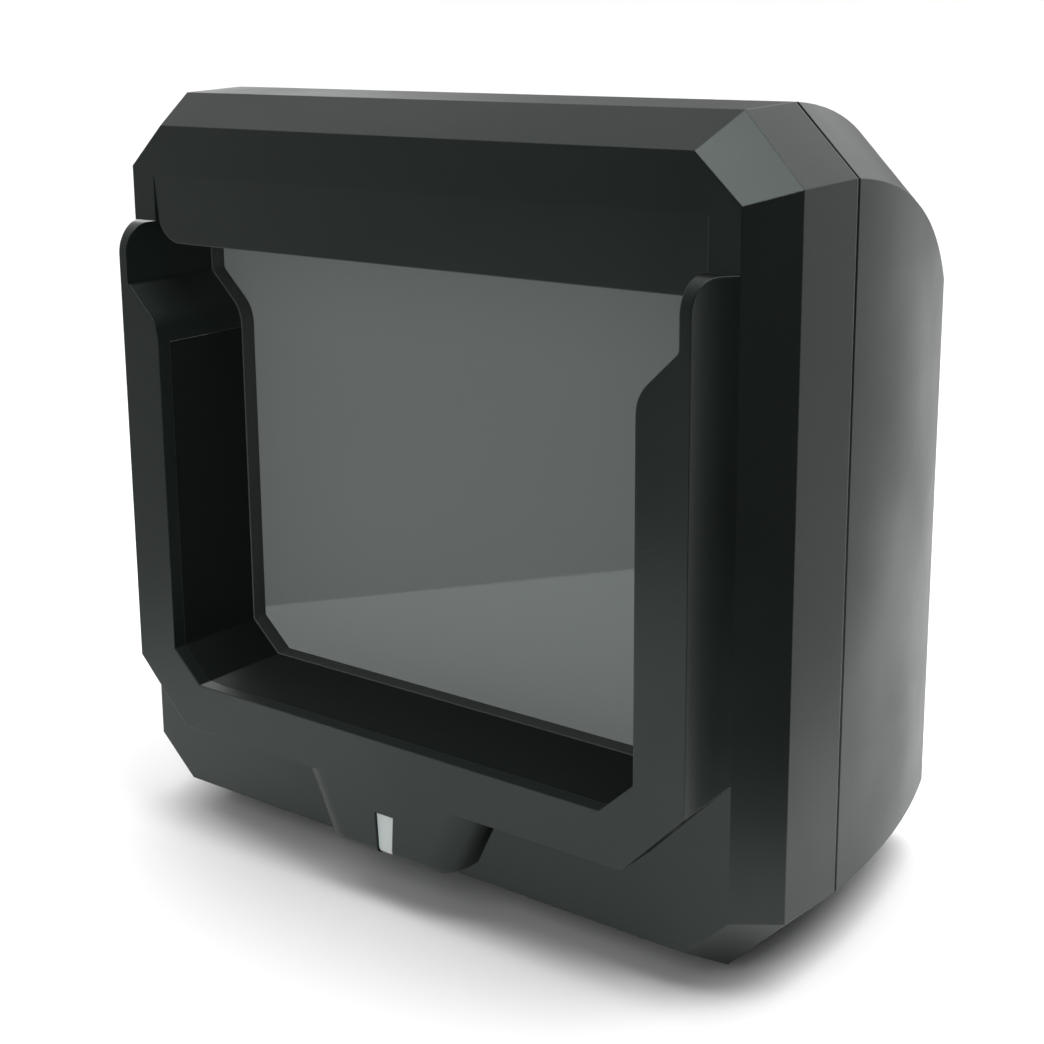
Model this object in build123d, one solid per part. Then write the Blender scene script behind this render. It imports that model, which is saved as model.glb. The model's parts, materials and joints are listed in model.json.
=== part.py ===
"""Hands-free presentation barcode scanner: an upright octagonal housing with a deep-set window.

While it is modelled, X runs to the right, Y runs back from the flat front face, and Z runs up from
the lower edge of the front bevel. place() then moves every piece into the part's own frame, whose
origin is on the table, under the middle of the scanner.
"""
import os
from math import asin, cos, sin, sqrt

from build123d import *

# ---------------------------------------------------------------- driving dimensions (mm)
# front housing: flat face, bevel and sides
body_half = 75.0            # half the width across the outer edge of the bevel
body_height = 147.64        # height across the outer edge of the bevel
bevel_inset = 5.84          # the flat face is this much smaller on every side
side_bevel_depth = 8.83
cap_bevel_depth = 10.19     # bevel depth at the top and bottom
face_corner = (8.68, 8.11)  # legs of the cut corners, across and up, on the flat face
body_corner = (11.56, 11.94)  # and at the outer edge of the bevel
parting_y = 25.4            # where the rear cover starts
parting_half = 75.71        # the sides open out by a little draft
base_z = -0.7               # flat underside
wall = 2.5
shut_line = 0.7             # gap between the two shells

# rear cover: the sides curve in plan, the top curves down to the back
back_y = 79.45
side_radius = 175.6
top_radius = 87.2
top_arc_y = 18.84           # where the top arc is level
top_arc_z = 148.35

# raised frame around the window
frame_step = 8.0
frame_bottom_z = 22.0
frame_bottom_half = 53.0
frame_half = 65.3           # at the front; the flanks sweep out to the edge of the flat face
frame_foot_z = 38.7         # where the lower corner cut meets the flank
fin_top_z = 123.1
fin_nose_radius = 5.8
flank_radius = 12.0

# window recess
recess_half = 55.3
recess_upper_half = 63.2
recess_bottom_z = 31.7
recess_corner = (6.8, 6.3)
step_z = (103.9, 111.6)     # the recess widens between these heights
brow_z = 132.2              # the brow is a panel that leans back a little from this height
brow_lip_y = 1.3            # down to its lip, at this depth
brow_corner_radius = 5.0
brow_corner_depth = 6.0
window_top_z = 118.8        # level ceiling, from the lip back to the bezel
recess_depth = 14.4         # from the flat face to the bezel
liner_wall = 1.8
liner_front_y = -5.0
liner_top_z = 100.5
tube_wall = 2.0
bezel_depth = 3.3
bezel_lip = 0.3
pane_thickness = 2.2
gasket_thickness = 1.5
chassis_plate = 2.5

# status tab under the frame
tab_low_half, tab_high_half = 15.6, 22.4
tab_bottom_z = 8.7
tab_round = 5.6
tab_lip = 1.7
pipe_low_half, pipe_high_half = 1.6, 2.15
pipe_top_z = 17.1
pipe_sink = 0.5

# push bar in the top of the rear cover
bar_y = 58.0                # middle of the bar, along the cover
bar_width = 8.0
bar_half = 60.6
bar_proud = 0.4
bar_thickness = 2.2
bar_gap = 0.35
bar_travel = 0.8
plunger_x = 30.0
plunger_radius = 2.3
floor_depth = 3.8           # pocket floor, below the cover's skin
well_depth = 9.0
well_radius = 4.2
well_wall = 1.6

# rear notch, jack, feet, inserts
notch_half = 13.0
notch_front_y = 50.0
notch_top_z = 18.0
notch_wall = 2.0
foot_radius = 6.0
foot_stand = 1.3            # how far the feet stand proud of the underside
foot_places = [(-50, 17.6), (50, 17.6), (-50, 68), (50, 68)]
insert_places = [(-30, 60), (30, 60)]
insert_length = 8.0
m4_core_radius = 1.65
tongue_length = 3.4
case_screw_x, case_screw_z = 54.0, 15.5
case_screw_seat_y = 34.0

# boards
board_thickness = 1.6
main_board_y = 66.0
imager_board_y = 54.0
camera_z = 74.0
led_board_x = 42.0
chassis_screw_places = [(-68.4, 52), (68.4, 52), (-68.4, 92), (68.4, 92)]
main_board_posts = [(-46, 30), (46, 30), (-46, 94), (46, 94)]
speaker_place = (0.0, 93.0)
speaker_radius = 14.0

# ---------------------------------------------------------------- worked-out positions
face_half = body_half - bevel_inset
bezel_back_y = recess_depth + bezel_depth
pane_back_y = bezel_back_y + pane_thickness
gasket_back_y = pane_back_y + gasket_thickness
chassis_back_y = gasket_back_y + chassis_plate
mid_y = (back_y - frame_step) / 2
lift = foot_stand - base_z
middle = Vector(0, parting_y, body_height / 2)


# ---------------------------------------------------------------- helpers
def place(shape):
    """From the modelling frame to the part's own frame."""
    return Pos(0, -mid_y, lift) * shape


def slab(profile, front_y, rear_y):
    """Extrude a profile drawn across (X) and up (Z) between two depths."""
    return extrude(Plane.XZ.offset(-rear_y) * profile, amount=rear_y - front_y)


def outline(points, radii=0):
    """A closed outline through the points, with a radius for each corner."""
    return make_face(FilletPolyline(*points, radius=radii, close=True))


def block(x_span, y_span, z_span):
    """An axis-aligned block between pairs of limits."""
    size = (x_span[1] - x_span[0], y_span[1] - y_span[0], z_span[1] - z_span[0])
    centre = (sum(x_span) / 2, sum(y_span) / 2, sum(z_span) / 2)
    return Pos(*centre) * Box(*size)


def rod(x, z, radius, front_y, rear_y):
    """A cylinder that runs front to back."""
    return Pos(x, (front_y + rear_y) / 2, z) * (Rot(90, 0, 0) * Cylinder(radius, rear_y - front_y))


def post(x, y, radius, low_z, high_z):
    """An upright cylinder."""
    return Pos(x, y, (low_z + high_z) / 2) * Cylinder(radius, high_z - low_z)


def group(shapes):
    """Several separate solids in one node."""
    return Compound(children=[solid for shape in shapes for solid in shape.solids()])


def shave(shape, points, inset):
    """Cut a shape back to the plane through three points, moved inwards by the inset."""
    first, second, third = (Vector(*point) for point in points)
    normal = (second - first).cross(third - first).normalized()
    if normal.dot(middle - first) < 0:
        normal = normal * -1
    cut = Plane(origin=first + normal * inset, z_dir=normal)
    return split(shape, bisect_by=cut, keep=Keep.TOP)


def half_width(y):
    """Half the width of the rear cover at a depth."""
    return parting_half - side_radius + sqrt(side_radius ** 2 - (y - parting_y) ** 2)


def top_height(y):
    """Height of the rear cover's top at a depth."""
    return top_arc_z - top_radius + sqrt(top_radius ** 2 - (y - top_arc_y) ** 2)


def octagon(half, low, high, leg_x, leg_z):
    """A rectangle with four cut corners, across and up."""
    points = [(half, low + leg_z), (half, high - leg_z), (half - leg_x, high), (leg_x - half, high),
              (-half, high - leg_z), (-half, low + leg_z), (leg_x - half, low), (half - leg_x, low)]
    return make_face(Polyline(*points, close=True))


# ---------------------------------------------------------------- outer forms
def front_form(inset, rear_y):
    """The bevelled octagonal block of the front housing, with every side moved in by the inset."""
    form = block((-90, 90), (inset, rear_y), (-20, 170))
    top_parting = top_height(parting_y)
    for side in (-1, 1):
        form = shave(form, [(side * body_half, side_bevel_depth, 0), (side * body_half, side_bevel_depth, 9),
                            (side * parting_half, parting_y, 0)], inset)
        form = shave(form, [(side * face_half, 0, 0), (side * face_half, 0, 9),
                            (side * body_half, side_bevel_depth, 0)], inset)
    ends = [(body_height, -1, top_parting), (0.0, 1, base_z)]
    for edge_z, inward, parting_z in ends:
        face_z = edge_z + inward * bevel_inset
        form = shave(form, [(0, cap_bevel_depth, edge_z), (9, cap_bevel_depth, edge_z),
                            (0, parting_y, parting_z)], inset)
        form = shave(form, [(0, 0, face_z), (9, 0, face_z), (0, cap_bevel_depth, edge_z)], inset)
        for side in (-1, 1):
            low_corner = (side * body_half, side_bevel_depth, edge_z + inward * body_corner[1])
            high_corner = (side * (body_half - body_corner[0]), cap_bevel_depth, edge_z)
            parting_corner = (side * parting_half, parting_y, parting_z + inward * body_corner[1])
            face_low = (side * face_half, 0, face_z + inward * face_corner[1])
            face_high = (side * (face_half - face_corner[0]), 0, face_z)
            form = shave(form, [low_corner, high_corner, parting_corner], inset)
            form = shave(form, [face_low, face_high, low_corner], inset)
    return form


def rear_section(y, inset):
    """One octagonal section of the rear cover."""
    leg_x = body_corner[0] - inset * 0.59
    leg_z = body_corner[1] - inset * 0.58
    shape = octagon(half_width(y) - inset, base_z + inset, top_height(y) - inset, leg_x, leg_z)
    return Plane.XZ.offset(-y) * shape


def rear_form(inset, front_y, rear_y):
    """The rear cover's curved block between two depths."""
    steps = 6
    depths = [front_y + (rear_y - front_y) * step / steps for step in range(steps + 1)]
    return loft([rear_section(depth, inset) for depth in depths])


def recess_outline(grow=0.0, top_z=150.0):
    """The opening of the window recess: narrow below, wider above, with cut lower corners."""
    low = recess_half + grow
    high = recess_upper_half + grow
    bottom = recess_bottom_z - grow
    leg_x = recess_corner[0] + 0.45 * grow
    leg_z = recess_corner[1] + 0.45 * grow
    step_low = step_z[0] - 0.4 * grow
    step_high = step_z[1] - 0.4 * grow
    right = [(low - leg_x, bottom), (low, bottom + leg_z), (low, step_low), (high, step_high), (high, top_z)]
    left = [(-x, z) for x, z in reversed(right)]
    bend = [0.6, 0.6, 7.0, 1.5, 0]
    return outline(right + left, bend + bend[::-1])


def recess_form(grow, front_y, rear_y, behind=0.0):
    """The hollow of the recess with the sunk panel of the brow above it, or a block around both."""
    deep = slab(recess_outline(grow, window_top_z + behind), front_y, rear_y)
    lip_y = brow_lip_y + behind
    side_view = Polyline((front_y, window_top_z - 5), (front_y, brow_z), (behind, brow_z),
                         (lip_y, window_top_z), (lip_y, window_top_z - 5), close=True)
    leaning = extrude(Plane.YZ.offset(-80) * make_face(side_view), amount=160)
    return deep + (slab(recess_outline(grow), front_y, lip_y) & leaning)


def brow_corners(grow, front_y, rear_y):
    """Clearance beside the brow's two rounded lower corners, or blocks around it."""
    corners = []
    for side in (-1, 1):
        x_span = sorted((side * (recess_upper_half - brow_corner_radius), side * (recess_upper_half + grow)))
        z_span = (window_top_z - 1, window_top_z + brow_corner_radius - 0.8 + grow)
        corner = block(x_span, (front_y, rear_y), z_span)
        if grow == 0:
            middle_x = side * (recess_upper_half - brow_corner_radius)
            corner = corner - rod(middle_x, window_top_z + brow_corner_radius, brow_corner_radius, -30, 30)
        corners.append(corner)
    return corners[0] + corners[1]


def window_outline(grow):
    """The opening at the bezel."""
    return recess_outline(grow, top_z=window_top_z + grow)


# ---------------------------------------------------------------- front housing
def raised_frame():
    """The U-shaped frame in front of the flat face, with swept flanks and rounded fins."""
    right = [(frame_bottom_half, frame_bottom_z), (face_half, frame_foot_z), (face_half, fin_top_z)]
    left = [(-x, z) for x, z in reversed(right)]
    frame = slab(outline(right + left, [0.8, 0, 0, 0, 0, 0.8]), -frame_step, 1.0)
    for side in (-1, 1):
        front_edge = (side * frame_half, -frame_step)
        foot = (side * face_half, 0)
        sweep = RadiusArc(front_edge, foot, side * flank_radius)
        rest = Polyline(foot, (side * 90, 0), (side * 90, -20), (side * frame_half, -20), front_edge)
        frame = frame - Pos(0, 0, 10) * extrude(make_face([sweep, rest]), amount=130)
    nose_start = (-frame_step, fin_top_z - fin_nose_radius)
    nose_end = (-frame_step + fin_nose_radius, fin_top_z)
    nose = RadiusArc(nose_start, nose_end, fin_nose_radius)
    above = Polyline(nose_end, (nose_end[0], 140), (-20, 140), (-20, nose_start[1]), nose_start)
    cutter = Plane.YZ.offset(-80) * make_face([nose, above])
    return frame - extrude(cutter, amount=160)


def status_tab():
    """The tab that runs from the frame down to the lower bevel."""
    points = [(-tab_low_half, tab_bottom_z), (tab_low_half, tab_bottom_z),
              (tab_high_half, frame_bottom_z + 0.5), (-tab_high_half, frame_bottom_z + 0.5)]
    tab = slab(outline(points), -frame_step, 1.0)
    front_edges = tab.edges().filter_by(lambda edge: abs(edge.center().Y + frame_step) < 0.01)
    flank_edges = front_edges.filter_by(lambda edge: abs(edge.center().X) > 5)
    tab = fillet(flank_edges, tab_round)
    lower_edges = tab.edges().filter_by(
        lambda edge: abs(edge.center().Z - tab_bottom_z) < 0.01 and edge.center().Y < -0.5)
    return fillet(lower_edges.sort_by(Axis.Y)[0:1], tab_lip)


def pipe_outline(grow):
    """The tapered outline of the status light."""
    points = [(-pipe_low_half - grow, tab_bottom_z - 1), (pipe_low_half + grow, tab_bottom_z - 1),
              (pipe_high_half + grow, pipe_top_z + grow), (-pipe_high_half - grow, pipe_top_z + grow)]
    return outline(points)


def hollow_boss(x, z, radius, hole_radius, front_y, rear_y, hole_depth):
    """A screw boss and its hole."""
    return rod(x, z, radius, front_y, rear_y), rod(x, z, hole_radius, rear_y - hole_depth, rear_y + 1)


def front_housing():
    shell = front_form(0, parting_y) - front_form(wall, parting_y + 5)
    tube = recess_form(liner_wall + tube_wall, 1.0, recess_depth, behind=2.2)
    tube = tube + brow_corners(2.2, 1.0, brow_corner_depth + 2.2)
    shell = shell + tube + raised_frame() + status_tab()
    shell = shell - recess_form(0, -20, recess_depth + 1) - brow_corners(0, -20, brow_corner_depth)
    liner_pocket = slab(recess_outline(liner_wall + 0.05), liner_front_y, recess_depth + 1)
    shell = shell - (liner_pocket & block((-80, 80), (-20, 30), (0, liner_top_z)))
    shell = shell - slab(pipe_outline(0.12), -20, 1)
    shell = shell - slab(pipe_outline(-0.45), 0, wall + 5)
    holes = []
    for x, z in chassis_screw_places:
        boss, hole = hollow_boss(x, z, 3.0, 1.1, wall - 0.5, gasket_back_y, 10)
        shell = shell + (boss & front_form(0.5, parting_y))
        holes.append(hole)
    for side in (-1, 1):
        boss, hole = hollow_boss(side * case_screw_x, case_screw_z, 4.0, 1.25, wall - 0.5, parting_y - 1, 14)
        shell = shell + boss
        holes.append(hole)
        boss, hole = hollow_boss(side * 9.5, 14.0, 2.2, 0.8, wall - 0.5, 6.0, 3)
        shell = shell + boss
        holes.append(hole)
        catch = block((side * 40 - 6, side * 40 + 6), (19.5, 21.0), (140.5, 146.5))
        shell = shell + catch
    for hole in holes:
        shell = shell - hole
    for x, y in foot_places[:2]:
        shell = shell - post(x, y, foot_radius + 0.1, -10, 0.9)
    return shell


def window_shroud():
    """The liner: bottom and two side walls, open above."""
    outer = slab(recess_outline(liner_wall), liner_front_y + 0.05, recess_depth)
    inner = slab(recess_outline(0), -20, recess_depth + 1)
    return (outer - inner) & block((-80, 80), (-20, 30), (0, liner_top_z - 0.05))


def window_bezel():
    points = [(-65, 36), (-58, 28.5), (58, 28.5), (65, 36), (65, 122), (-65, 122)]
    ring = slab(outline(points, 2.0), recess_depth, bezel_back_y)
    return ring - slab(window_outline(-bezel_lip), recess_depth - 1, bezel_back_y + 1)


def pane_outline():
    points = [(-64.4, 37), (-57.5, 29.5), (57.5, 29.5), (64.4, 37), (64.4, 121), (-64.4, 121)]
    return outline(points, 2.0)


def scan_window():
    return slab(pane_outline(), bezel_back_y, pane_back_y)


def window_gasket():
    ring = slab(offset(pane_outline(), -0.4), pane_back_y, gasket_back_y)
    hole = [(-61, 41), (-54, 34), (54, 34), (61, 41), (61, 118.9), (-61, 118.9)]
    return ring - slab(outline(hole, 2.0), 0, 40)


def status_light_pipe():
    """A wedge that follows the tab's front, sunk a little, with a stem into the housing."""
    wedge = slab(pipe_outline(0.0), -frame_step, 1) & (Pos(0, pipe_sink, 0) * status_tab())
    stem = slab(pipe_outline(-0.6), 0, 3.9) & block((-5, 5), (0, 3.9), (tab_bottom_z + 1.2, 20))
    return wedge + stem


# ---------------------------------------------------------------- rear cover
bar_tilt = asin((bar_y - top_arc_y) / top_radius)
bar_surface = Vector(0, bar_y, top_height(bar_y))
bar_out = Vector(0, sin(bar_tilt), cos(bar_tilt))
bar_frame = Plane(origin=bar_surface, x_dir=(1, 0, 0), z_dir=bar_out)
tip_low = -well_depth - 4.6   # underside of the plunger caps, below the cover's skin


def bar_prism(half_length, width, high, low):
    """A block square to the push direction; heights are from the cover's skin."""
    base = bar_frame.offset(low) * Rectangle(2 * half_length, width)
    return extrude(base, amount=high - low)


def bar_rod(x, radius, high, low):
    base = bar_frame.offset(low) * (Pos(x, 0) * Circle(radius))
    return extrude(base, amount=high - low)


def speaker_slots():
    """Five slots over the speaker, shorter towards the top and bottom."""
    x, z = speaker_place
    slots = []
    for row in range(-2, 3):
        length = 2 * sqrt(11.0 ** 2 - (row * 4.0) ** 2)
        slots.append(slab(Pos(x, z + row * 4.0) * SlotOverall(length, 1.8), back_y - 8, back_y + 5))
    return slots


def jack_opening():
    return block((-7.0, 7.0), (52.4, 63.6), (notch_top_z - 3, notch_top_z + 4))


def tongue_section(inset):
    """The octagon of the parting plane, moved inwards."""
    low = base_z + inset
    high = top_height(parting_y) - inset
    leg_x, leg_z = (leg - 0.57 * inset for leg in body_corner)
    return octagon(parting_half - inset, low, high, leg_x, leg_z)


def rear_cover():
    front_y = parting_y + shut_line
    outer = rear_form(0, front_y, back_y)
    rear_edges = outer.edges().filter_by(lambda edge: abs(edge.center().Y - back_y) < 0.01)
    outer = fillet(rear_edges, 1.0)
    shell = outer - rear_form(wall, front_y - 2, back_y - wall)
    inside = rear_form(wall - 0.3, front_y, back_y - wall + 0.3)
    # tongue that enters the front housing
    tongue = slab(tongue_section(wall + 0.35), parting_y - tongue_length, front_y + 1.5)
    root = slab(tongue_section(wall - 1.0), front_y, front_y + 1.5)
    shell = shell + (tongue + root - slab(tongue_section(wall + 2.0), 0, 60))
    for side in (-1, 1):
        shell = shell - block((side * 40 - 6.4, side * 40 + 6.4), (15, 23.2), (130, 160))
    # notch for the cable, closed off from the inside
    notch_box = block((-notch_half - notch_wall, notch_half + notch_wall),
                      (notch_front_y - notch_wall, back_y), (base_z, notch_top_z + notch_wall))
    shell = shell + (notch_box & outer)
    shell = shell - block((-notch_half, notch_half), (notch_front_y, back_y + 5), (-10, notch_top_z))
    shell = shell - jack_opening()
    # bosses
    for side in (-1, 1):
        boss = rod(side * case_screw_x, case_screw_z, 5.2, front_y, back_y - 1.5)
        shell = shell + (boss & outer)
    for x, z in main_board_posts:
        shell = shell + rod(x, z, 3.0, main_board_y + board_thickness, back_y - 1)
    for x, y in insert_places:
        shell = shell + post(x, y, 5.0, base_z + 0.5, base_z + insert_length + 2.5)
    ring = rod(*speaker_place, speaker_radius + 2.0, back_y - wall - 4.5, back_y - 1)
    shell = shell + (ring - rod(*speaker_place, speaker_radius + 0.2, 0, back_y - wall))
    # tray for the push bar
    tray = bar_prism(bar_half + 1.2, bar_width + 3.6, -1.0, -floor_depth - 1.8)
    shell = shell + (tray & inside)
    for x in (-plunger_x, plunger_x):
        shell = shell + bar_rod(x, well_radius + well_wall, -1.5, -well_depth - 2.0)
    for x in (-12, 12):
        shell = shell + bar_rod(x, 2.4, -1.5, -16.8)
    shell = shell - bar_prism(bar_half + bar_gap, bar_width + 2 * bar_gap, 5.0, -floor_depth)
    for x in (-plunger_x, plunger_x):
        shell = shell - bar_rod(x, well_radius, 0, -well_depth)
        shell = shell - bar_rod(x, plunger_radius + 0.32, 0, -well_depth - 5)
    # holes and recesses
    for x in (-12, 12):
        shell = shell - bar_rod(x, 0.8, -11.0, -17.5)
    for side in (-1, 1):
        shell = shell - rod(side * case_screw_x, case_screw_z, 3.2, case_screw_seat_y, back_y + 5)
        shell = shell - rod(side * case_screw_x, case_screw_z, 1.7, 0, back_y)
    for x, z in main_board_posts:
        shell = shell - rod(x, z, 1.0, 0, main_board_y + 9)
    for x, y in insert_places:
        shell = shell - post(x, y, 2.8, -10, base_z + insert_length)
    for x, y in foot_places[2:]:
        shell = shell - post(x, y, foot_radius + 0.1, -10, base_z + 1.4)
    for slot in speaker_slots():
        shell = shell - slot
    label_recess = slab(Pos(0, 52) * RectangleRounded(61, 31, 2), back_y - 0.3, back_y + 2)
    return shell - label_recess


def function_bar():
    """The push bar follows the cover's top arc, and stands a little proud of it."""
    bar = bar_prism(bar_half, bar_width, 3.0, bar_proud - bar_thickness)
    crown = Rot(0, 90, 0) * Cylinder(top_radius + bar_proud, 150)
    crown = Pos(0, top_arc_y, top_arc_z - top_radius) * crown
    bar = bar & crown
    for x in (-plunger_x, plunger_x):
        bar = bar + bar_rod(x, plunger_radius, bar_proud - bar_thickness + 0.5, -well_depth - 3.6)
    return bar


def bar_tips():
    """Caps that hold the plungers in, and press the switches."""
    tips = []
    for x in (-plunger_x, plunger_x):
        cap = bar_rod(x, 3.7, -well_depth - 2.35, tip_low)
        tips.append(cap - bar_rod(x, plunger_radius, 0, -well_depth - 3.6))
    return group(tips)


def bar_springs():
    """Two open coil springs around the plungers."""
    springs = []
    free_length = well_depth + bar_proud - bar_thickness - 0.6
    for x in (-plunger_x, plunger_x):
        coil = Helix(pitch=free_length / 5, height=free_length - 0.6, radius=3.3)
        wire = sweep(Plane(origin=coil @ 0, z_dir=coil % 0) * Circle(0.28), path=coil)
        springs.append(bar_frame.location * (Pos(x, 0, -well_depth + 0.4) * wire))
    return group(springs)


def switch_board():
    board = bar_prism(38, 11, -16.85, -18.05)
    for x in (-12, 12):
        board = board - bar_rod(x, 1.2, 0, -30)
    return board


def bar_switches():
    switches = []
    for x in (-plunger_x, plunger_x):
        case = extrude(bar_frame.offset(-16.83) * (Pos(x, 0) * Rectangle(6, 6)), amount=2.4)
        actuator_top = tip_low - bar_travel - 0.05
        switches.append(case + bar_rod(x, 1.7, actuator_top, -15.0))
    return group(switches)


def switch_board_screws():
    screws = []
    for x in (-12, 12):
        screws.append(bar_rod(x, 0.78, -12.0, -18.1) + bar_rod(x, 1.7, -18.1, -19.4))
    return group(screws)


def rubber_feet():
    feet = []
    for number, (x, y) in enumerate(foot_places):
        top = 0.8 if number < 2 else base_z + 1.3
        pad = post(x, y, foot_radius, base_z - foot_stand, top)
        lower = pad.edges().filter_by(GeomType.CIRCLE).sort_by(Axis.Z)[0]
        feet.append(fillet(lower, 0.6))
    return group(feet)


def base_inserts():
    """Knurled brass inserts with an M4 core hole."""
    inserts = []
    for x, y in insert_places:
        body = post(x, y, 2.78, base_z, base_z + insert_length - 0.1)
        groove = post(x, y, 4, base_z + 3.2, base_z + 4.2) - post(x, y, 2.3, base_z, base_z + 8)
        inserts.append(body - groove - post(x, y, m4_core_radius, base_z - 1, base_z + insert_length + 1))
    return group(inserts)


def pan_screw(x, z, shank, shank_front_y, seat_y, head_radius, head_height):
    """A cross-slot pan screw that is driven from behind."""
    head_y = seat_y + head_height
    screw = rod(x, z, shank, shank_front_y, seat_y + 0.1) + rod(x, z, head_radius, seat_y, head_y)
    long_half = head_radius * 0.55
    for x_half, z_half in ((long_half, 0.35), (0.35, long_half)):
        slot_y = (head_y - head_height * 0.55, head_y + 1)
        screw = screw - block((x - x_half, x + x_half), slot_y, (z - z_half, z + z_half))
    return screw


def case_screws():
    return group([pan_screw(side * case_screw_x, case_screw_z, 1.22, 14, case_screw_seat_y, 2.8, 2.2)
                  for side in (-1, 1)])


def rating_label():
    return slab(Pos(0, 52) * RectangleRounded(60.4, 30.4, 1.8), back_y - 0.28, back_y - 0.04)


def speaker_mesh():
    return rod(*speaker_place, speaker_radius - 0.4, back_y - wall - 0.5, back_y - wall - 0.02)


def speaker():
    """Basket with a sunk cone, a dust cap and a magnet behind."""
    x, z = speaker_place
    inner_y = back_y - wall
    basket = rod(x, z, speaker_radius, inner_y - 4.0, inner_y - 0.55)
    cone = rod(x, z, speaker_radius - 2.5, inner_y - 1.6, back_y)
    dust_cap = rod(x, z, 3.6, inner_y - 2.0, inner_y - 1.0)
    magnet = rod(x, z, speaker_radius - 5, inner_y - 6.5, inner_y - 3.8)
    return basket - cone + dust_cap + magnet


def interface_jack():
    """Modular socket on the main board, with its mouth down in the notch."""
    body = block((-6.9, 6.9), (52.5, 63.5), (notch_top_z, notch_top_z + 16))
    mouth = block((-5.8, 5.8), (54.0, 60.8), (notch_top_z - 1, notch_top_z + 12))
    latch = block((-3.0, 3.0), (60.0, 62.4), (notch_top_z - 1, notch_top_z + 9))
    saddle = block((-6.9, 6.9), (63.0, main_board_y - 0.02), (notch_top_z + 2.6, notch_top_z + 15))
    return body + saddle - mouth - latch


def jack_contacts():
    """Ten spring contacts along the front wall of the socket."""
    contacts = []
    for number in range(10):
        x = (number - 4.5) * 1.02
        contacts.append(block((x - 0.2, x + 0.2), (54.01, 54.8), (notch_top_z + 3, notch_top_z + 11)))
    return group(contacts)


# ---------------------------------------------------------------- optics
def optical_chassis():
    points = [(-71, 40), (-60, 31), (60, 31), (71, 40), (71, 121.5), (-71, 121.5)]
    plate = slab(outline(points, 3.0), gasket_back_y, chassis_back_y)
    plate = plate - slab(Pos(0, camera_z) * Rectangle(50, 62), 0, 60)
    for side in (-1, 1):
        x = side * led_board_x
        channel = block((x - 9.5, x + 9.5), (chassis_back_y - 0.5, 33), (41, 107))
        channel = channel - block((x - 8, x + 8), (0, 40), (42.5, 105.5))
        plate = plate - block((x - 8, x + 8), (0, 40), (42.5, 105.5)) + channel
        for z in (camera_z - 14, camera_z + 14):
            strut = block((min(side * 12, side * 29), max(side * 12, side * 29)),
                          (imager_board_y - 6, imager_board_y - 3), (z - 2.2, z + 2.2))
            leg = block((min(side * 26, side * 29), max(side * 26, side * 29)),
                        (chassis_back_y - 1, imager_board_y - 3), (z - 2.2, z + 2.2))
            tower = rod(side * 14, z, 2.5, imager_board_y - 6, imager_board_y)
            plate = plate + strut + leg + tower
            plate = plate - rod(side * 14, z, 0.8, imager_board_y - 5, imager_board_y + 1)
    for x, z in chassis_screw_places:
        plate = plate - rod(x, z, 1.3, 0, 60)
    return plate


def light_baffle():
    """Tapered hood between the window and the camera."""
    mouth_y, camera_y = chassis_back_y + 0.05, 45.0

    def hood(grow):
        mouth = Plane.XZ.offset(-mouth_y) * (Pos(0, camera_z) * Rectangle(49 + grow, 60 + grow))
        neck = Plane.XZ.offset(-camera_y) * (Pos(0, camera_z) * Rectangle(17 + grow, 17 + grow))
        return loft([mouth, neck])

    return hood(0) - hood(-2.6)


def lens_holder():
    body = block((-7, 7), (46.5, imager_board_y - 0.02), (camera_z - 7, camera_z + 7))
    return body - rod(0, camera_z, 4.6, 40, 51.5) - block((-5, 5), (51.4, 60), (camera_z - 5, camera_z + 5))


def lens_barrel():
    barrel = rod(0, camera_z, 4.58, 45.2, 51.4) + rod(0, camera_z, 5.6, 43.6, 46.4)
    return barrel - rod(0, camera_z, 3.4, 40, 60)


def front_lens():
    body = rod(0, camera_z, 3.38, 44.6, 47.4)
    dome = Pos(0, 44.6 + 9.0, camera_z) * Sphere(9.4)
    return body & dome


def image_sensor():
    return block((-4.4, 4.4), (imager_board_y - 1.2, imager_board_y - 0.02),
                 (camera_z - 4.4, camera_z + 4.4))


def imager_board():
    back_face = imager_board_y + board_thickness
    board = block((-17, 17), (imager_board_y, back_face), (camera_z - 17, camera_z + 17))
    for side in (-1, 1):
        for z in (camera_z - 14, camera_z + 14):
            board = board - rod(side * 14, z, 1.1, 50, 60)
    return board


def imager_screws():
    seat_y = imager_board_y + board_thickness
    return group([pan_screw(side * 14, z, 0.78, imager_board_y - 4, seat_y, 1.8, 1.3)
                  for side in (-1, 1) for z in (camera_z - 14, camera_z + 14)])


def led_board(side):
    x = side * led_board_x
    return block((x - 7.8, x + 7.8), (30.5, 31.7), (42.7, 105.3))


def led_emitters(side):
    x = side * led_board_x
    emitters = []
    for row in range(6):
        z = 49 + row * 10
        case = block((x - 1.75, x + 1.75), (29.6, 30.48), (z - 1.4, z + 1.4))
        emitters.append(case + rod(x, z, 1.2, 29.2, 29.7))
    return group(emitters)


def diffuser(side):
    x = side * led_board_x
    plate = block((x - 7.8, x + 7.8), (23.0, 25.2), (42.7, 105.3))
    for row in range(6):
        z = 49 + row * 10
        plate = plate - Pos(x, 31.0, z) * Sphere(6.6)
    return plate


# ---------------------------------------------------------------- electronics
def main_board():
    board = block((-52, 52), (main_board_y, main_board_y + board_thickness), (notch_top_z + 3, 100))
    for x, z in main_board_posts:
        board = board - rod(x, z, 1.3, 60, 70)
    return board


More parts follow.
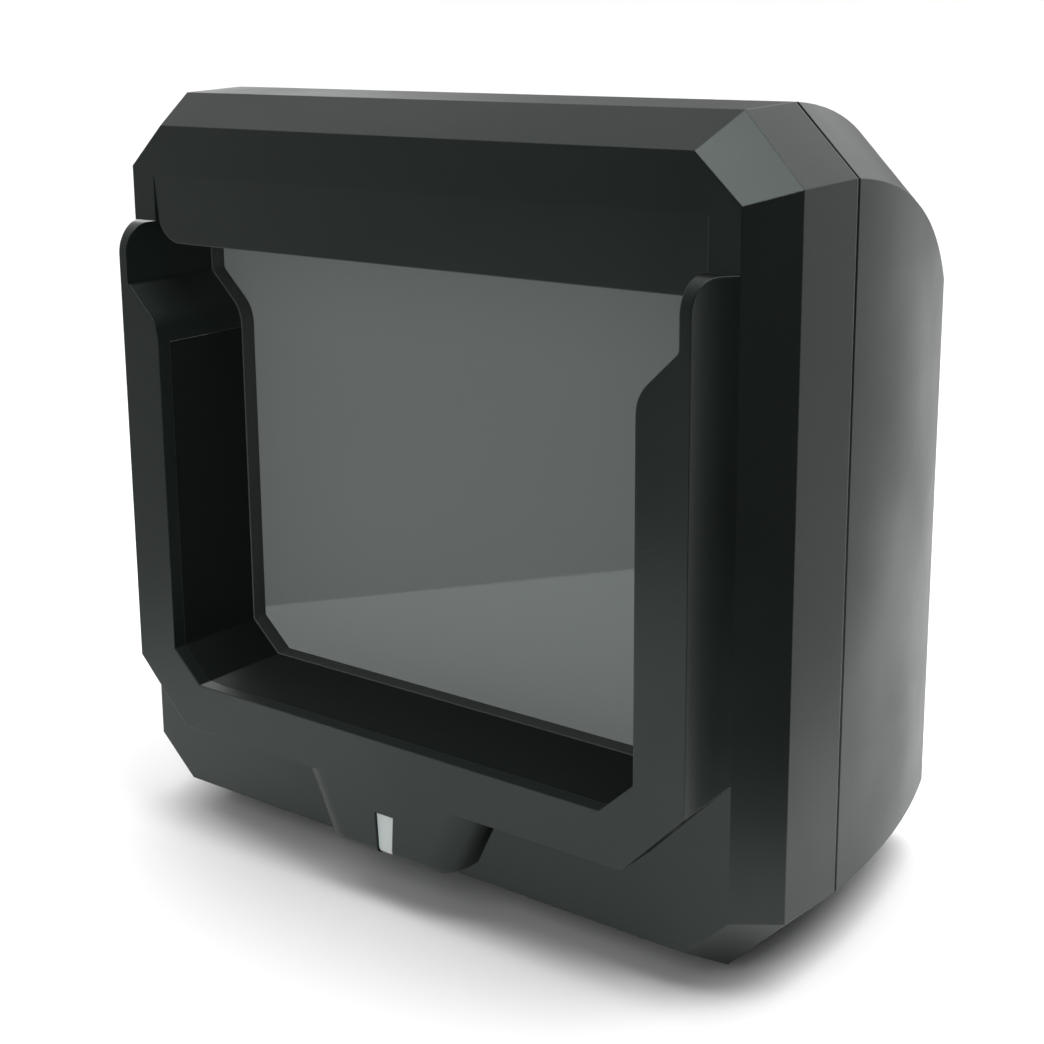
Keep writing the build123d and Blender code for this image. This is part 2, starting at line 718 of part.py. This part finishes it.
def main_board_screws():
    """Driven from the front, into the posts of the rear cover."""
    screws = []
    for x, z in main_board_posts:
        shank = rod(x, z, 0.98, main_board_y - 0.1, main_board_y + 8)
        head = rod(x, z, 2.2, main_board_y - 1.6, main_board_y)
        slot = block((x - 1.3, x + 1.3), (60, main_board_y - 1.0), (z - 0.3, z + 0.3))
        screws.append(shank + head - slot)
    return group(screws)


def chip(x, z, width, height, thickness):
    return block((x - width / 2, x + width / 2), (main_board_y - thickness, main_board_y - 0.02),
                 (z - height / 2, z + height / 2))


def processor():
    return chip(22, 74, 15, 15, 1.5)


def memory_chips():
    return group([chip(22, 74 + offset_z, 11, 8, 1.1) for offset_z in (-15, 15)])


def power_parts():
    """Two shielded inductors and three capacitor cans."""
    inductors = [chip(-30, 44, 6, 6, 3.0), chip(-30, 54, 6, 6, 3.0)]
    cans = [rod(-18 + 8 * number, 46, 2.5, main_board_y - 5.4, main_board_y - 0.02) for number in range(3)]
    return group(inductors + cans)


def board_connectors():
    """Flat-cable sockets on the imager board and on the main board."""
    back_face = imager_board_y + board_thickness
    imager_socket = block((-8, 8), (back_face + 0.02, back_face + 2.2), (camera_z - 2, camera_z + 2))
    return group([imager_socket, chip(0, 88, 16, 4, 2.2), chip(-40, 80, 6, 8, 3), chip(-40, 66, 6, 8, 3)])


def flat_cable():
    """A flat cable that arches up from the imager board to the main board."""
    low = (imager_board_y + board_thickness + 1.2, camera_z + 2.1)
    high = (main_board_y - 1.1, 86.0)
    path = FilletPolyline(low, (low[0], 82.0), (high[0], 80.0), high, radius=2.0)
    strip = Plane.YZ.offset(-6) * trace(path, line_width=0.3)
    return extrude(strip, amount=12)


def status_led_board():
    board = block((-12, 12), (6.05, 7.25), (7.5, 19.5))
    for side in (-1, 1):
        board = board - rod(side * 9.5, 14.0, 1.0, 0, 20)
    return board


def status_led():
    return block((-1.6, 1.6), (4.3, 6.03), (11.0, 14.6))


def status_board_screws():
    return group([pan_screw(side * 9.5, 14.0, 0.78, 4, 7.25, 1.7, 1.2) for side in (-1, 1)])


def chassis_screws():
    return group([pan_screw(x, z, 1.08, 13, chassis_back_y, 2.4, 1.8) for x, z in chassis_screw_places])


def ballast_plate():
    plate = block((-44, 44), (29, 46), (base_z + wall + 0.1, base_z + wall + 8))
    return chamfer(plate.edges().filter_by(Axis.Z), 2.0)


nodes = {
    "front_housing": front_housing,
    "window_shroud": window_shroud,
    "window_bezel": window_bezel,
    "scan_window": scan_window,
    "window_gasket": window_gasket,
    "status_light_pipe": status_light_pipe,
    "status_led_board": status_led_board,
    "status_led": status_led,
    "status_board_screws": status_board_screws,
    "rear_cover": rear_cover,
    "function_bar": function_bar,
    "bar_tips": bar_tips,
    "bar_springs": bar_springs,
    "bar_switches": bar_switches,
    "switch_board": switch_board,
    "switch_board_screws": switch_board_screws,
    "rubber_feet": rubber_feet,
    "base_inserts": base_inserts,
    "case_screws": case_screws,
    "rating_label": rating_label,
    "speaker_mesh": speaker_mesh,
    "speaker": speaker,
    "interface_jack": interface_jack,
    "jack_contacts": jack_contacts,
    "optical_chassis": optical_chassis,
    "light_baffle": light_baffle,
    "lens_holder": lens_holder,
    "lens_barrel": lens_barrel,
    "front_lens": front_lens,
    "image_sensor": image_sensor,
    "imager_board": imager_board,
    "imager_screws": imager_screws,
    "main_board": main_board,
    "main_board_screws": main_board_screws,
    "processor": processor,
    "memory_chips": memory_chips,
    "power_parts": power_parts,
    "board_connectors": board_connectors,
    "flat_cable": flat_cable,
    "chassis_screws": chassis_screws,
    "ballast_plate": ballast_plate,
}
for side_name, side in (("left", -1), ("right", 1)):
    nodes[side_name + "_led_board"] = lambda side=side: led_board(side)
    nodes[side_name + "_led_emitters"] = lambda side=side: led_emitters(side)
    nodes[side_name + "_diffuser"] = lambda side=side: diffuser(side)

os.makedirs("parts", exist_ok=True)
for name, build in nodes.items():
    export_step(place(build()), os.path.join("parts", name + ".step"))
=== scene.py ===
"""Looks for the hands-free presentation scanner: materials, coil springs, stage, lights and camera."""
import json
import math

import bpy
from mathutils import Matrix, Vector


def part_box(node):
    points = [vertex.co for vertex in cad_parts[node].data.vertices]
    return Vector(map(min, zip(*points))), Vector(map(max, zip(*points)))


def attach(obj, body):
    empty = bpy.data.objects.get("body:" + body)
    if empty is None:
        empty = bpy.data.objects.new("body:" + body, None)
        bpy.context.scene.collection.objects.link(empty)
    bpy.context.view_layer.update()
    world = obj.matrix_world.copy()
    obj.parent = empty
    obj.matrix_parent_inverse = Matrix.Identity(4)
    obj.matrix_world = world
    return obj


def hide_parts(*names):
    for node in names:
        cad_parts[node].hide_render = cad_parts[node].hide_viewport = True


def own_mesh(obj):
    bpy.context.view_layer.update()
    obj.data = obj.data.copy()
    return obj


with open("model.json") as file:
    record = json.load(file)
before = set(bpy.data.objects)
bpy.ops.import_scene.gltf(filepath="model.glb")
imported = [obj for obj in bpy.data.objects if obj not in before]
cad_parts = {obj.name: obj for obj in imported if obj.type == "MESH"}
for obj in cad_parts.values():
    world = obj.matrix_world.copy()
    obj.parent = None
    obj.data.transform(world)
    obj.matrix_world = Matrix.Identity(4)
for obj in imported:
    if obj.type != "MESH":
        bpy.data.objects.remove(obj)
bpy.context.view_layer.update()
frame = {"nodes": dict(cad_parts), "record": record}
MM = 0.001


# ---------------------------------------------------------------- node helpers
def add(tree, kind, **settings):
    """A shader node with its properties and unlinked inputs set."""
    made = tree.nodes.new(kind)
    for key, value in settings.items():
        if hasattr(made, key):
            setattr(made, key, value)
        else:
            made.inputs[key.replace("_", " ")].default_value = value
    return made


def new_material(name, colour, roughness):
    material = bpy.data.materials.new(name)
    material.use_nodes = True
    tree = material.node_tree
    shader = tree.nodes["Principled BSDF"]
    shader.inputs["Base Color"].default_value = (*colour, 1)
    shader.inputs["Roughness"].default_value = roughness
    return material, tree, shader


def noise(tree, scale, detail, stretch=(1, 1, 1)):
    """Noise in the part's own coordinates; the scale is in features per metre."""
    place = add(tree, "ShaderNodeTexCoord")
    mapping = add(tree, "ShaderNodeMapping", Scale=stretch)
    texture = add(tree, "ShaderNodeTexNoise", Scale=scale, Detail=detail)
    tree.links.new(place.outputs["Object"], mapping.inputs["Vector"])
    tree.links.new(mapping.outputs["Vector"], texture.inputs["Vector"])
    return texture.outputs["Fac"]


def ramp(tree, value, low, high, to_low, to_high):
    """Remap a value from one range to another."""
    node = add(tree, "ShaderNodeMapRange", From_Min=low, From_Max=high, To_Min=to_low, To_Max=to_high)
    tree.links.new(value, node.inputs["Value"])
    return node.outputs["Result"]


def mix_colours(tree, factor, first, second):
    """A mix of two colours; each is a colour or the output of another node."""
    node = add(tree, "ShaderNodeMix", data_type="RGBA")
    colour_inputs = [socket for socket in node.inputs if socket.type == "RGBA"]
    for socket, colour in zip(colour_inputs, (first, second)):
        if isinstance(colour, tuple):
            socket.default_value = (*colour, 1)
        else:
            tree.links.new(colour, socket)
    tree.links.new(factor, node.inputs["Factor"])
    return [socket for socket in node.outputs if socket.type == "RGBA"][0]


def math_node(tree, operation, first, second):
    node = add(tree, "ShaderNodeMath", operation=operation)
    for index, value in enumerate((first, second)):
        if isinstance(value, (int, float)):
            node.inputs[index].default_value = value
        else:
            tree.links.new(value, node.inputs[index])
    return node.outputs[0]


def dot_with(tree, vector_output, direction):
    """How far a node's vector points along a fixed direction."""
    dot = add(tree, "ShaderNodeVectorMath", operation="DOT_PRODUCT")
    dot.inputs[1].default_value = direction
    tree.links.new(vector_output, dot.inputs[0])
    return dot.outputs["Value"]


# the cosine between the rounded and the true normal, where an edge starts and where it is full
EDGE_STARTS = 0.995
EDGE_FULL = 0.93
EDGE_SAMPLES = 6


def edge_mask(tree, radius):
    """1 on edges within the radius and 0 on flat areas, and the rounded normal."""
    rounded = add(tree, "ShaderNodeBevel", samples=EDGE_SAMPLES, Radius=radius)
    geometry = add(tree, "ShaderNodeNewGeometry")
    dot = add(tree, "ShaderNodeVectorMath", operation="DOT_PRODUCT")
    tree.links.new(rounded.outputs["Normal"], dot.inputs[0])
    tree.links.new(geometry.outputs["Normal"], dot.inputs[1])
    return ramp(tree, dot.outputs["Value"], EDGE_STARTS, EDGE_FULL, 0.0, 1.0), rounded.outputs["Normal"]


def bump(tree, height, normal, distance):
    node = add(tree, "ShaderNodeBump", Distance=distance, Strength=1.0)
    tree.links.new(height, node.inputs["Height"])
    tree.links.new(normal, node.inputs["Normal"])
    return node.outputs["Normal"]


# ---------------------------------------------------------------- materials
TINT = (0.86, 1.0, 0.965)       # the plastics' reflections lean to green-grey
CLOUD_SCALE = 28
CLOUD_RANGE = (0.3, 0.7)
NOISE_DETAIL = 3.0
EDGE_POLISH = 0.08
SHELL = (0.0026, 0.0043, 0.0039)
materials = {}
shaders = {}


def textured(name, colour, roughness, grain=2600, depth=0.02, edge=0.35, variation=0.18, wear=1.6,
             metallic=0.0, roughness_swing=0.06, stretch=(1, 1, 1)):
    """A moulded or machined surface: fine grain, cloudy variation, and edges polished a little paler.

    grain is in features per metre; depth and edge are in millimetres.
    """
    material, tree, shader = new_material(name, colour, roughness)
    mask, rounded = edge_mask(tree, edge * MM)
    cloud = noise(tree, CLOUD_SCALE, NOISE_DETAIL)
    fine = noise(tree, grain, NOISE_DETAIL, stretch)
    darker = tuple(channel * (1 - variation) for channel in colour)
    lighter = tuple(channel * (1 + variation) for channel in colour)
    worn = tuple(min(1.0, channel * wear) for channel in colour)
    base = mix_colours(tree, ramp(tree, cloud, *CLOUD_RANGE, 0, 1), darker, lighter)
    with_wear = mix_colours(tree, math_node(tree, "MULTIPLY", mask, fine), base, worn)
    tree.links.new(with_wear, shader.inputs["Base Color"])
    cloudy = ramp(tree, cloud, *CLOUD_RANGE, roughness - roughness_swing, roughness + roughness_swing)
    polished = math_node(tree, "SUBTRACT", cloudy, math_node(tree, "MULTIPLY", mask, EDGE_POLISH))
    tree.links.new(polished, shader.inputs["Roughness"])
    tree.links.new(bump(tree, fine, rounded, depth * MM), shader.inputs["Normal"])
    shader.inputs["Metallic"].default_value = metallic
    if not metallic:
        shader.inputs["Specular Tint"].default_value = (*TINT, 1)
    materials[name] = material
    shaders[name] = shader


textured("front_shell", SHELL, 0.36)
textured("rear_shell", SHELL, 0.37)
textured("liner", (0.0035, 0.0050, 0.0046), 0.5, edge=0.05, wear=1.0)
textured("bezel", (0.035, 0.037, 0.036), 0.5)
textured("bar", SHELL, 0.34, grain=3400)
textured("rubber", (0.012, 0.012, 0.012), 0.75, grain=1500, depth=0.04)
textured("inner_moulding", (0.010, 0.010, 0.010), 0.6)
textured("circuit_board", (0.012, 0.09, 0.04), 0.35, grain=900)
textured("chip", (0.015, 0.015, 0.016), 0.5)
textured("component", (0.05, 0.05, 0.05), 0.5)
textured("jack_shell", (0.012, 0.012, 0.013), 0.3)
textured("contact_gold", (0.80, 0.58, 0.22), 0.25, metallic=1.0, wear=1.1)
textured("screw_steel", (0.42, 0.42, 0.43), 0.32, metallic=1.0, wear=1.3)
textured("spring_steel", (0.50, 0.50, 0.51), 0.28, metallic=1.0, wear=1.2)
textured("ballast_steel", (0.30, 0.30, 0.31), 0.42, metallic=1.0, wear=1.3, grain=1200, stretch=(0.05, 1, 1))
textured("mesh_steel", (0.020, 0.020, 0.020), 0.5, grain=1600, depth=0.15)
textured("speaker_cone", (0.022, 0.022, 0.022), 0.7, grain=1100, depth=0.05)
textured("insert_brass", (0.60, 0.42, 0.15), 0.32, metallic=1.0, wear=1.2)
textured("label", (0.62, 0.62, 0.61), 0.5, grain=1400, depth=0.006, variation=0.03, wear=1.05)
textured("emitter", (0.75, 0.68, 0.40), 0.3, variation=0.05, wear=1.1)
textured("diffuser", (0.78, 0.78, 0.76), 0.4, variation=0.04, wear=1.05)
textured("light_pipe", (0.54, 0.58, 0.57), 0.3, grain=1800, depth=0.008, edge=0.15, variation=0.05, wear=1.2)
textured("window", (0.070, 0.077, 0.075), 0.03, grain=500, depth=0.0001, edge=0.3, variation=0.02,
         wear=1.0, roughness_swing=0.005)
textured("lens", (0.9, 0.92, 0.92), 0.03, grain=300, depth=0.0002, edge=0.2, variation=0.02,
         wear=1.0, roughness_swing=0.01)

EXTRA_INPUTS = {
    "liner": {"Specular IOR Level": 0.2},
    "light_pipe": {"Subsurface Weight": 0.35, "Subsurface Scale": 0.002},
    # the pane glows faintly: painted light, a glow that evens out the shade across it, though the pane is no
    # lamp
    "window": {"Emission Color": (0.92, 1.0, 0.98, 1), "Emission Strength": 0.056},
    "lens": {"Transmission Weight": 1.0},
}
for name, inputs in EXTRA_INPUTS.items():
    for socket_name, value in inputs.items():
        shaders[name].inputs[socket_name].default_value = value

slot_of = {part["node"]: part["material_slot"] for part in frame["record"]["subparts"]}
for name, piece in frame["nodes"].items():
    piece.data.materials.clear()
    piece.data.materials.append(materials[slot_of[name]])
# left out of reflections, so that the pane shows the floor and not the walls around it
for name in ("front_housing", "window_shroud", "window_bezel"):
    frame["nodes"][name].visible_glossy = False


# ---------------------------------------------------------------- coil springs
WIRE_RADIUS = 0.28 * MM
COIL_RADIUS = 3.3 * MM
COIL_TURNS = 6.5
CLOSED_TURNS = 1.0
CLOSED_PITCH = 2.2 * WIRE_RADIUS
RING_POINTS = 10
STEPS_PER_TURN = 40


def coil_height(turn, length):
    """How far up the coil the wire's centre is; the end turns lie nearly flat, the others are open."""
    open_rise = length - 2 * WIRE_RADIUS - 2 * CLOSED_TURNS * CLOSED_PITCH
    if turn < CLOSED_TURNS:
        rise = turn * CLOSED_PITCH
    elif turn > COIL_TURNS - CLOSED_TURNS:
        rise = open_rise + (turn - COIL_TURNS + 2 * CLOSED_TURNS) * CLOSED_PITCH
    else:
        open_share = (turn - CLOSED_TURNS) / (COIL_TURNS - 2 * CLOSED_TURNS)
        rise = CLOSED_TURNS * CLOSED_PITCH + open_rise * open_share
    return WIRE_RADIUS + rise


def coil_mesh(name, starts, up, length):
    """Round wire wound about the direction up, once from each start point."""
    across = Vector((1, 0, 0))
    side = up.cross(across).normalized()
    steps = int(COIL_TURNS * STEPS_PER_TURN)
    points, faces = [], []
    for start in starts:
        first = len(points)
        for step in range(steps + 1):
            turn = step / STEPS_PER_TURN
            outward = across * math.cos(math.tau * turn) + side * math.sin(math.tau * turn)
            centre = start + outward * COIL_RADIUS + up * coil_height(turn, length)
            for corner in range(RING_POINTS):
                angle = math.tau * corner / RING_POINTS
                points.append(centre + (outward * math.cos(angle) + up * math.sin(angle)) * WIRE_RADIUS)
        for step in range(steps):
            low_ring = first + step * RING_POINTS
            high_ring = low_ring + RING_POINTS
            for corner in range(RING_POINTS):
                after = (corner + 1) % RING_POINTS
                faces.append((low_ring + corner, low_ring + after, high_ring + after, high_ring + corner))
        faces.append(tuple(reversed(range(first, first + RING_POINTS))))
        last = first + steps * RING_POINTS
        faces.append(tuple(range(last, last + RING_POINTS)))
    mesh = bpy.data.meshes.new(name)
    mesh.from_pydata([tuple(point) for point in points], [], faces)
    for face in mesh.polygons:
        face.use_smooth = len(face.vertices) == 4
    mesh.validate()
    made = bpy.data.objects.new(name, mesh)
    bpy.context.scene.collection.objects.link(made)
    return made


press = frame["record"]["behaviour"]["joints"][0]
bar_up = -Vector(press["axis"]).normalized()
spring_low, spring_high = (Vector(corner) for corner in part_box("bar_springs"))
coil_outside = COIL_RADIUS + WIRE_RADIUS
spring_length = (spring_high.z - spring_low.z - 2 * coil_outside * abs(bar_up.y)) / bar_up.z
spring_foot = (spring_low + spring_high) / 2 - bar_up * spring_length / 2
coil_x = spring_high.x - coil_outside
coil_starts = [Vector((x, spring_foot.y, spring_foot.z)) for x in (-coil_x, coil_x)]
springs = coil_mesh("bar_coil_springs", coil_starts, bar_up, spring_length)
springs.data.materials.append(materials["spring_steel"])
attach(springs, "scanner")
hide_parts("bar_springs")
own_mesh(springs)


# ---------------------------------------------------------------- stage
def flat_piece(name, corners, height):
    """A level sheet through corners given as (x, y)."""
    mesh = bpy.data.meshes.new(name)
    mesh.from_pydata([(x, y, height) for x, y in corners], [], [tuple(range(len(corners)))])
    sheet = bpy.data.objects.new(name, mesh)
    bpy.context.scene.collection.objects.link(sheet)
    return sheet


FLOOR_HALF = 40.0
floor = flat_piece("floor", [(-FLOOR_HALF, -FLOOR_HALF), (FLOOR_HALF, -FLOOR_HALF),
                             (FLOOR_HALF, FLOOR_HALF), (-FLOOR_HALF, FLOOR_HALF)], 0.0)
floor.data.materials.append(new_material("floor_paper", (0.90, 0.90, 0.90), 0.9)[0])

# a dark card on the floor in front, seen only in reflections, like the end of a table top
CARD_CORNERS = [(-0.33146, 0.15585), (0.0, -0.30052), (0.13, -0.30052), (0.13, 0.10),
                (0.3, 1.2), (4.0, 1.2), (4.0, -4.0), (-4.0, -4.0), (-4.0, 0.15585)]
CARD_HEIGHT = 0.5 * MM
AWAY_FROM_CAMERA = (-0.6, 0.8, 0.0)
CARD_GLOW = 0.72                # brightness on the far side; it fades to none towards the camera
CARD_FADE = (-0.86, 0.35)       # along that direction
CARD_FAR_SHARE = 0.62           # and to this share with distance
CARD_DISTANCES = (0.4, 1.3)
card = flat_piece("dark_card", CARD_CORNERS, CARD_HEIGHT)
card_material, card_tree, card_shader = new_material("dark_card", (0.02, 0.02, 0.02), 0.9)
card_shader.inputs["Specular IOR Level"].default_value = 0.0
card_shader.inputs["Emission Color"].default_value = (1.0, 1.0, 1.0, 1)
card_spot = add(card_tree, "ShaderNodeTexCoord").outputs["Object"]
card_heading = add(card_tree, "ShaderNodeVectorMath", operation="NORMALIZE")
card_distance = add(card_tree, "ShaderNodeVectorMath", operation="LENGTH")
card_tree.links.new(card_spot, card_heading.inputs[0])
card_tree.links.new(card_spot, card_distance.inputs[0])
card_away = dot_with(card_tree, card_heading.outputs["Vector"], AWAY_FROM_CAMERA)
card_near_glow = ramp(card_tree, card_away, *CARD_FADE, 0.0, CARD_GLOW)
card_share = ramp(card_tree, card_distance.outputs["Value"], *CARD_DISTANCES, 1.0, CARD_FAR_SHARE)
card_level = math_node(card_tree, "MULTIPLY", card_near_glow, card_share)
card_tree.links.new(card_level, card_shader.inputs["Emission Strength"])
card.data.materials.append(card_material)
card.visible_camera = False
card.visible_diffuse = False
card.visible_transmission = False
card.visible_shadow = False

# ---------------------------------------------------------------- light
CAMERA = Vector((0.2093, -0.277575, 0.1668))
TARGET = Vector((0.01906, -0.035725, 0.09598))

world = bpy.data.worlds.new("studio")
bpy.context.scene.world = world
world.use_nodes = True
world_tree = world.node_tree
background = world_tree.nodes["Background"]
direction = add(world_tree, "ShaderNodeTexCoord").outputs["Generated"]


def sky_band(towards, low, high, to_low, to_high):
    """Brightness over the sky, from to_low at the cosine low to to_high at the cosine high."""
    return ramp(world_tree, dot_with(world_tree, direction, towards), low, high, to_low, to_high)


towards_camera = tuple((CAMERA - TARGET).normalized())
dark_behind_camera = sky_band(towards_camera, -0.30, 0.74, 1.0, 0.0)
tent = sky_band((-0.8, 0.6, 0.0), 0.955, 0.995, 0.72, 3.3)
drape = sky_band((-0.3, 0.954, 0.0), 0.88, 0.95, 1.0, 0.3)
window_wall = sky_band((-0.16, 0.92, 0.36), 0.94, 0.998, 1.0, 4.8)
light_level = math_node(world_tree, "MULTIPLY",
                        math_node(world_tree, "MULTIPLY", dark_behind_camera, tent),
                        math_node(world_tree, "MULTIPLY", drape, window_wall))
seen = add(world_tree, "ShaderNodeLightPath").outputs["Is Camera Ray"]
world_tree.links.new(math_node(world_tree, "MAXIMUM", light_level, seen), background.inputs["Strength"])
background.inputs["Color"].default_value = (1.0, 1.0, 1.0, 1)


def softbox(name, place, aim, width, height, radiance, in_reflections=True):
    """A rectangular light; its radiance is what a reflection of it shows."""
    light = bpy.data.lights.new(name, "AREA")
    light.shape = "RECTANGLE"
    light.size = width
    light.size_y = height
    light.energy = radiance * math.pi * width * height
    holder = bpy.data.objects.new(name, light)
    bpy.context.scene.collection.objects.link(holder)
    holder.location = place
    holder.rotation_mode = "QUATERNION"
    holder.rotation_quaternion = (Vector(aim) - Vector(place)).to_track_quat("-Z", "Y")
    holder.visible_camera = False
    holder.visible_glossy = in_reflections


softbox("overhead", (0.45, 0.0, 1.0), (0, 0, 0.1), 0.7, 0.7, 4.0)
softbox("fill_front", (0.15, -1.1, 0.7), (0, 0, 0.05), 1.0, 0.8, 1.6, in_reflections=False)

SUN_STRENGTH = 2.5
SUN_SPREAD = math.radians(80)
SUN_TILT = (math.radians(-12), math.radians(-8), 0)
sun_light = bpy.data.lights.new("skylight", "SUN")
sun_light.energy = SUN_STRENGTH
sun_light.angle = SUN_SPREAD
skylight = bpy.data.objects.new("skylight", sun_light)
bpy.context.scene.collection.objects.link(skylight)
skylight.rotation_euler = SUN_TILT
skylight.visible_glossy = False

# ---------------------------------------------------------------- camera
SENSOR_WIDTH = 36.0
LENS = 62.70
SHIFT = (0.0346, -0.0991)
CLIP = (0.01, 200.0)
ROLL = math.radians(-0.684)
camera_data = bpy.data.cameras.new("camera")
camera = bpy.data.objects.new("camera", camera_data)
bpy.context.scene.collection.objects.link(camera)
camera_data.sensor_width = SENSOR_WIDTH
camera_data.lens = LENS
camera_data.shift_x, camera_data.shift_y = SHIFT
camera_data.clip_start, camera_data.clip_end = CLIP
camera.location = CAMERA
camera.rotation_mode = "QUATERNION"
look = (TARGET - CAMERA).to_track_quat("-Z", "Y")
camera.rotation_quaternion = look @ Matrix.Rotation(ROLL, 4, "Z").to_quaternion()
bpy.context.scene.camera = camera

bpy.context.scene.view_settings.view_transform = "Standard"
